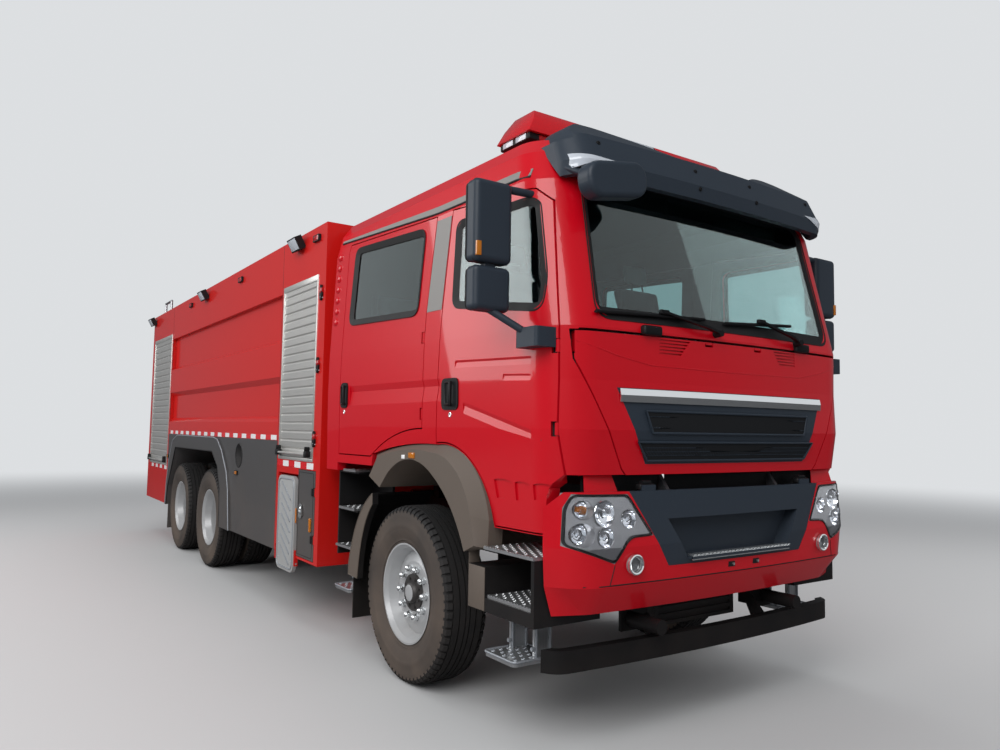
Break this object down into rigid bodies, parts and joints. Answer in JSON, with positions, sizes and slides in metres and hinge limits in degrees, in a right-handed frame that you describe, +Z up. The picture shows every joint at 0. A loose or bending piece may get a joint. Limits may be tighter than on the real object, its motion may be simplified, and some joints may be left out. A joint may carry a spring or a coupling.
{
  "type": "water tanker fire truck",
  "caption": "Crew-cab water tanker fire truck with ribbed tank body, roller shutters, roof water monitor, opening doors, steering front axle and driven rear bogie.",
  "frame": {"origin": "on the ground, in the middle of the overall length and width", "axes": "+Z up; the truck faces -Y, so its right side is at -X and its left side at +X"},
  "size_m": [3, 9.72, 3.5],
  "materials": {
    "red_paint": "gloss",
    "body_red": "gloss",
    "frame_black": "satin",
    "skirt_grey": "satin",
    "cast_parts": "matte",
    "dark_plastic": "matte",
    "arch_plastic": "matte",
    "trim_plastic": "matte",
    "lamp_lens": "gloss",
    "beacon_red": "gloss",
    "cab_glass": "gloss",
    "seat_fabric": "matte",
    "bare_aluminium": "brushed",
    "shutter_aluminium": "anodised",
    "rim_silver": "satin",
    "tyre_rubber": "matte",
    "ladder_steel": "satin",
    "cannon_paint": "gloss"
  },
  "bodies": {
    "chassis": {"chassis_frame": "frame_black", "axles": "cast_parts", "engine_block": "cast_parts", "radiator": "cast_parts", "under_tanks": "frame_black", "bumper": "red_paint", "bumper_grille": "dark_plastic", "headlamps": "lamp_lens", "underrun_bars": "frame_black", "step_boxes": "trim_plastic", "step_treads": "bare_aluminium", "equipment_boxes": "body_red", "tank_section": "body_red", "roller_shutters": "shutter_aluminium", "side_skirts": "skirt_grey", "rear_ladder": "ladder_steel", "body_lamps": "lamp_lens"},
    "cab": {"cab_shell": "red_paint", "windscreen": "cab_glass", "sun_visor": "dark_plastic", "light_bar": "beacon_red", "wheel_arches": "arch_plastic", "seats": "seat_fabric", "dashboard": "trim_plastic"},
    "front_flap": {"front_panel": "red_paint", "front_grille": "dark_plastic"},
    "tie_rod": {"tie_rod": "cast_parts"},
    "monitor_turret": {"monitor_head": "cannon_paint"},
    "monitor_barrel": {"monitor_barrel": "cannon_paint"},
    "manhole_lid": {"manhole_lid": "ladder_steel"},
    "door_front_right": {"door_front_right": "red_paint", "glass_front_right": "cab_glass", "mirror_right": "dark_plastic"},
    "door_rear_right": {"door_rear_right": "red_paint", "glass_rear_right": "cab_glass"},
    "step_board_right": {"step_board_right": "bare_aluminium"},
    "locker_door_right": {"locker_door_right": "skirt_grey"},
    "door_front_left": {"door_front_left": "red_paint", "glass_front_left": "cab_glass", "mirror_left": "dark_plastic"},
    "door_rear_left": {"door_rear_left": "red_paint", "glass_rear_left": "cab_glass"},
    "step_board_left": {"step_board_left": "bare_aluminium"},
    "locker_door_left": {"locker_door_left": "skirt_grey"},
    "knuckle_left": {"knuckle_left": "cast_parts"},
    "wheel_front_left": {"rim_front_left": "rim_silver", "tyre_front_left": "tyre_rubber"},
    "wheel_rear_1_left": {"rim_rear_1_left": "rim_silver", "tyres_rear_1_left": "tyre_rubber"},
    "wheel_rear_2_left": {"rim_rear_2_left": "rim_silver", "tyres_rear_2_left": "tyre_rubber"},
    "knuckle_right": {"knuckle_right": "cast_parts"},
    "wheel_front_right": {"rim_front_right": "rim_silver", "tyre_front_right": "tyre_rubber"},
    "wheel_rear_1_right": {"rim_rear_1_right": "rim_silver", "tyres_rear_1_right": "tyre_rubber"},
    "wheel_rear_2_right": {"rim_rear_2_right": "rim_silver", "tyres_rear_2_right": "tyre_rubber"}
  },
  "joints": [
    {"name": "cab_tilt", "type": "hinge", "parent": "chassis", "child": "cab", "pos_m": [0, -4.74, 1.2], "axis": [1, 0, 0], "range_deg": [0, 45]},
    {"name": "front_flap_lift", "type": "hinge", "parent": "cab", "child": "front_flap", "pos_m": [0, -4.796, 2.028], "axis": [-1, 0, 0], "range_deg": [0, 75]},
    {"name": "door_front_right_swing", "type": "hinge", "parent": "cab", "child": "door_front_right", "pos_m": [-1.128, -4.665, 1.76], "axis": [0, 0, 1], "range_deg": [0, 70]},
    {"name": "door_rear_right_swing", "type": "hinge", "parent": "cab", "child": "door_rear_right", "pos_m": [-1.205, -3.472, 1.87], "axis": [0, 0, 1], "range_deg": [0, 70]},
    {"name": "step_board_right_fold", "type": "hinge", "parent": "chassis", "child": "step_board_right", "pos_m": [-1.247, -1.285, 0.46], "axis": [0, -1, 0], "range_deg": [0, 90]},
    {"name": "locker_door_right_swing", "type": "hinge", "parent": "chassis", "child": "locker_door_right", "pos_m": [-1.239, -1.875, 0.87], "axis": [0, 0, 1], "range_deg": [0, 90]},
    {"name": "door_front_left_swing", "type": "hinge", "parent": "cab", "child": "door_front_left", "pos_m": [1.128, -4.665, 1.76], "axis": [0, 0, -1], "range_deg": [0, 70]},
    {"name": "door_rear_left_swing", "type": "hinge", "parent": "cab", "child": "door_rear_left", "pos_m": [1.205, -3.472, 1.87], "axis": [0, 0, -1], "range_deg": [0, 70]},
    {"name": "step_board_left_fold", "type": "hinge", "parent": "chassis", "child": "step_board_left", "pos_m": [1.247, -1.285, 0.46], "axis": [0, 1, 0], "range_deg": [0, 90]},
    {"name": "locker_door_left_swing", "type": "hinge", "parent": "chassis", "child": "locker_door_left", "pos_m": [1.239, -1.875, 0.87], "axis": [0, 0, -1], "range_deg": [0, 90]},
    {"name": "steer_left", "type": "hinge", "parent": "chassis", "child": "knuckle_left", "pos_m": [0.93, -3.24, 0.535], "axis": [0, 0, 1], "range_deg": [-38, 38]},
    {"name": "wheel_front_left_spin", "type": "hinge", "parent": "knuckle_left", "child": "wheel_front_left", "pos_m": [1.045, -3.24, 0.535], "axis": [1, 0, 0], "continuous": true},
    {"name": "wheel_rear_1_left_spin", "type": "hinge", "parent": "chassis", "child": "wheel_rear_1_left", "pos_m": [0.9175, 1.36, 0.535], "axis": [1, 0, 0], "continuous": true},
    {"name": "wheel_rear_2_left_spin", "type": "hinge", "parent": "chassis", "child": "wheel_rear_2_left", "pos_m": [0.9175, 2.76, 0.535], "axis": [1, 0, 0], "continuous": true},
    {"name": "steer_right", "type": "hinge", "parent": "chassis", "child": "knuckle_right", "pos_m": [-0.93, -3.24, 0.535], "axis": [0, 0, 1], "range_deg": [-38, 38]},
    {"name": "wheel_front_right_spin", "type": "hinge", "parent": "knuckle_right", "child": "wheel_front_right", "pos_m": [-1.045, -3.24, 0.535], "axis": [1, 0, 0], "continuous": true},
    {"name": "wheel_rear_1_right_spin", "type": "hinge", "parent": "chassis", "child": "wheel_rear_1_right", "pos_m": [-0.9175, 1.36, 0.535], "axis": [1, 0, 0], "continuous": true},
    {"name": "wheel_rear_2_right_spin", "type": "hinge", "parent": "chassis", "child": "wheel_rear_2_right", "pos_m": [-0.9175, 2.76, 0.535], "axis": [1, 0, 0], "continuous": true},
    {"name": "tie_rod_swing", "type": "hinge", "parent": "knuckle_left", "child": "tie_rod", "pos_m": [0.84, -2.91, 0.437], "axis": [0, 0, 1], "range_deg": [-42, 42]},
    {"name": "monitor_yaw", "type": "hinge", "parent": "chassis", "child": "monitor_turret", "pos_m": [0, 4.06, 3.19], "axis": [0, 0, 1], "range_deg": [-170, 170]},
    {"name": "monitor_pitch", "type": "hinge", "parent": "monitor_turret", "child": "monitor_barrel", "pos_m": [0, 4.06, 3.43], "axis": [-1, 0, 0], "range_deg": [-10, 75]},
    {"name": "manhole_lid_lift", "type": "hinge", "parent": "chassis", "child": "manhole_lid", "pos_m": [0, 1.395, 3.074], "axis": [-1, 0, 0], "range_deg": [0, 100]}
  ],
  "couplings": [
    {"joint": "steer_right", "follows": "steer_left", "ratio": 1},
    {"joint": "tie_rod_swing", "follows": "steer_left", "ratio": -1.097}
  ]
}
